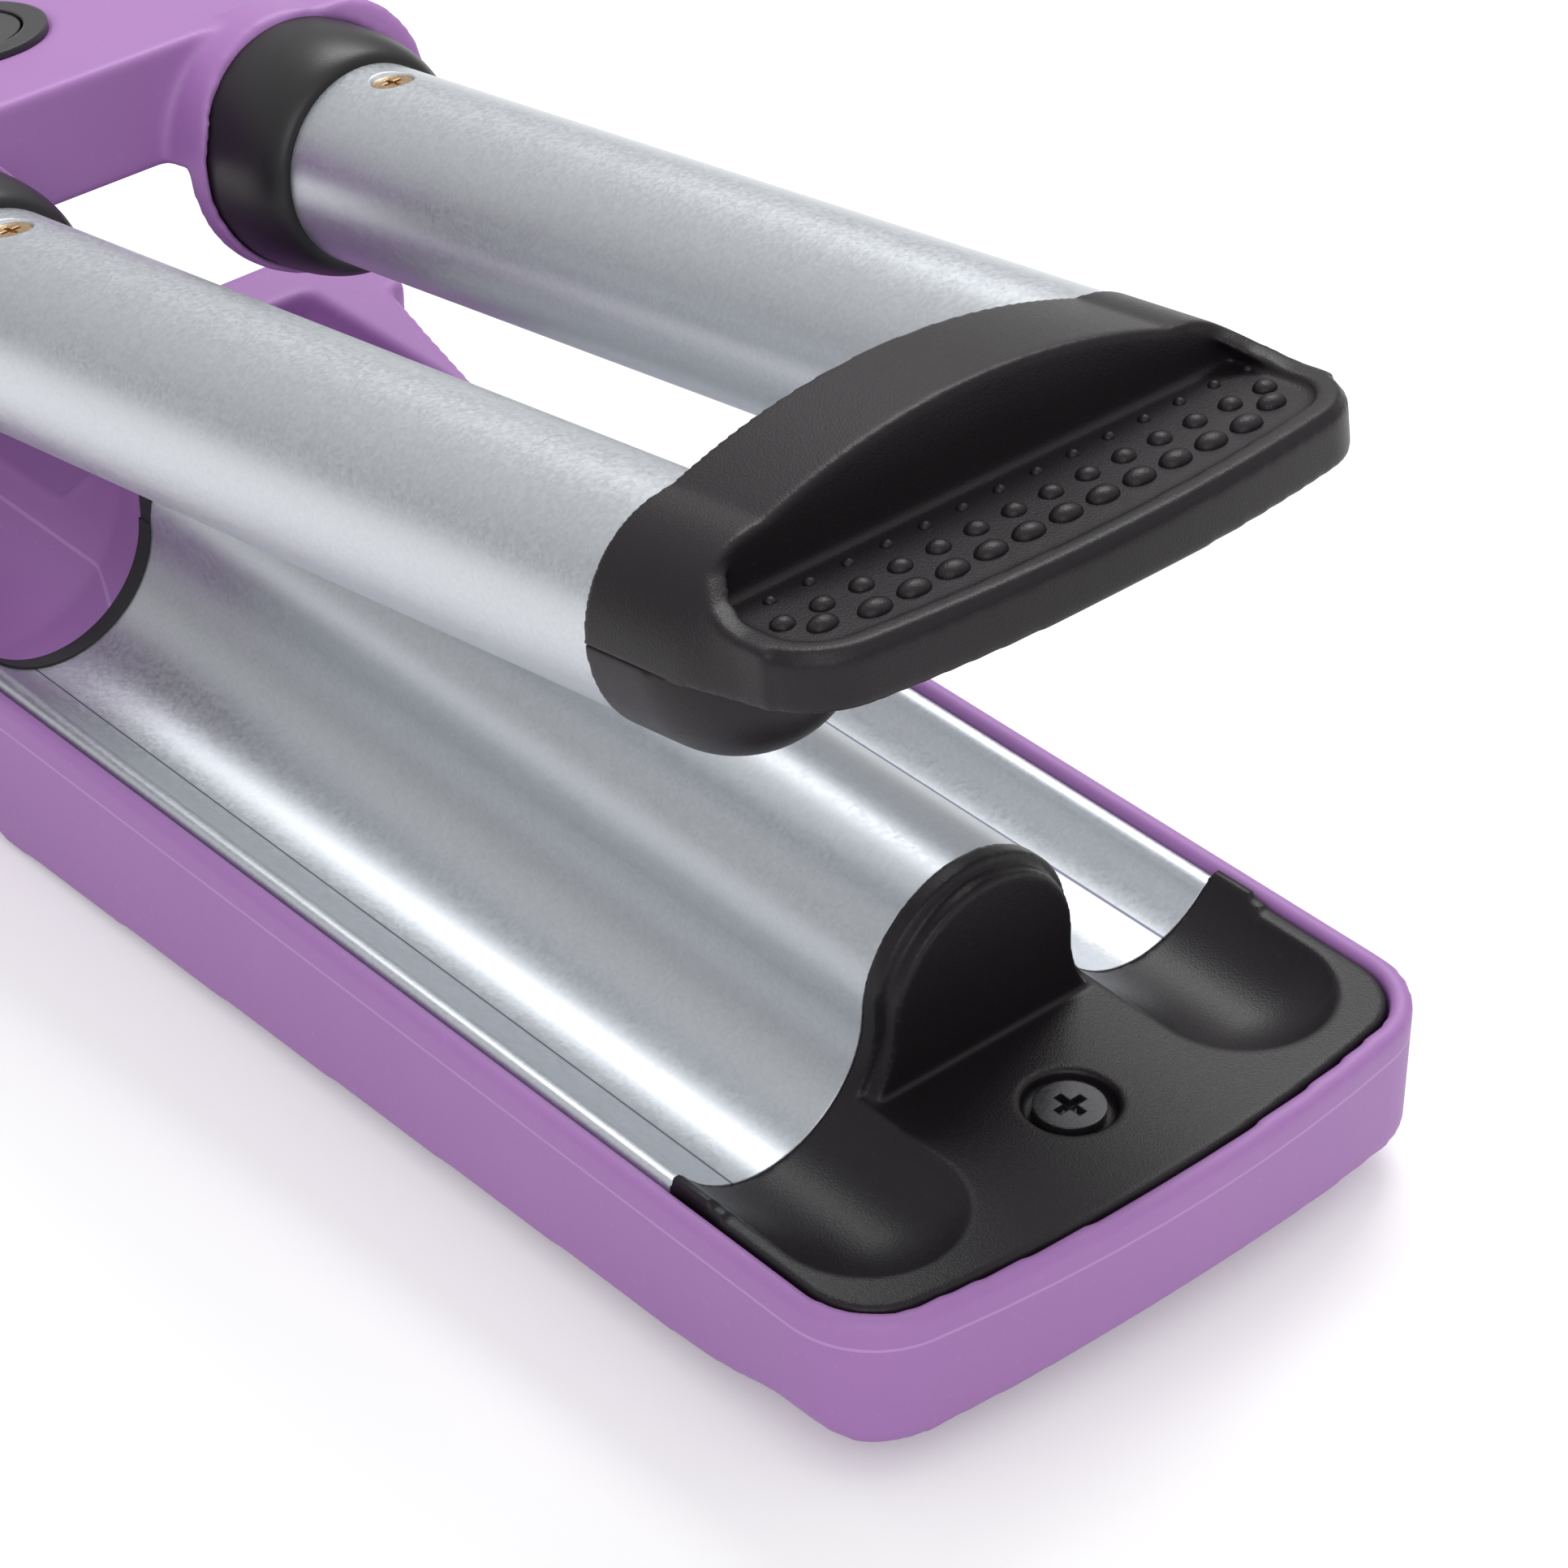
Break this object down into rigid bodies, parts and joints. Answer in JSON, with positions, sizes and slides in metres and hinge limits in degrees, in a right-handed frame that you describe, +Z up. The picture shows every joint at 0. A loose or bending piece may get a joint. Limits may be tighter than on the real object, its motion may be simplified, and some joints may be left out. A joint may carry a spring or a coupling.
{
  "type": "hair crimper",
  "caption": "Hair crimper with two round barrels that close over a waved plate, with a sprung hinge between its handles and a swivel cord outlet.",
  "frame": {"origin": "on the underside of the lower handle, straight below the hinge pin", "axes": "+X from the hinge to the tip, +Y to the left seen from the hinge, +Z up; the jaws are open"},
  "size_m": [0.3154, 0.0828, 0.0771],
  "materials": {
    "purple_shell": "satin",
    "purple_cover": "fine texture",
    "silver_coat": "satin with fine sparkle",
    "black_shell": "satin",
    "black_collar": "satin",
    "black_soft": "matt",
    "black_gland": "matt",
    "black_gloss": "gloss",
    "black_ring": "satin",
    "lamp_red": "clear red",
    "brass_screw": "plated",
    "black_screw": "black oxide",
    "heater_ceramic": "ceramic",
    "spring_steel": "plain",
    "board_green": "lacquered",
    "fuse_metal": "plain",
    "sensor_bead": "glazed",
    "bush_white": "plain"
  },
  "bodies": {
    "lower_jaw": {"lower_housing": "purple_shell", "lower_cover": "purple_cover", "lower_screws": "black_screw", "wave_plate": "silver_coat", "plate_gasket": "black_soft", "end_plate": "black_shell", "end_plate_screw": "black_screw", "plate_heater": "heater_ceramic", "heater_clamp": "spring_steel", "thermal_fuse": "fuse_metal", "temperature_sensor": "sensor_bead", "hinge_pin": "spring_steel", "left_pin_cap": "black_collar", "right_pin_cap": "black_collar", "hinge_spring": "spring_steel", "swivel_clip": "spring_steel"},
    "upper_jaw": {"upper_housing": "purple_shell", "upper_cover": "purple_cover", "upper_screws": "black_screw", "left_barrel": "silver_coat", "right_barrel": "silver_coat", "left_collar": "black_collar", "right_collar": "black_collar", "barrel_screws": "brass_screw", "tip_cap": "black_shell", "left_end_plug": "black_shell", "right_end_plug": "black_shell", "cap_screws": "black_screw", "left_heater": "heater_ceramic", "right_heater": "heater_ceramic", "button_bezel": "black_ring", "indicator_lens": "lamp_red", "control_board": "board_green", "push_switch": "spring_steel", "left_hinge_bush": "bush_white", "right_hinge_bush": "bush_white"},
    "power_button": {"power_button": "black_gloss"},
    "cord_outlet": {"cord_swivel": "black_gland"}
  },
  "joints": [
    {"name": "jaw_hinge", "type": "hinge", "parent": "lower_jaw", "child": "upper_jaw", "pos_m": [0, 0, 0.0227], "axis": [0, 1, 0], "range_deg": [0, 9.5], "stiffness_Nm_per_rad": 0.8, "springref_deg": -28.65},
    {"name": "button_press", "type": "slide", "parent": "upper_jaw", "child": "power_button", "axis": [0.165, 0, -0.9863], "range_m": [0, 0.001], "stiffness_N_per_m": 1500, "springref_m": -0.0005},
    {"name": "cord_swivel_turn", "type": "hinge", "parent": "lower_jaw", "child": "cord_outlet", "pos_m": [-0.033, 0, 0.011], "axis": [1, 0, 0], "continuous": true}
  ]
}
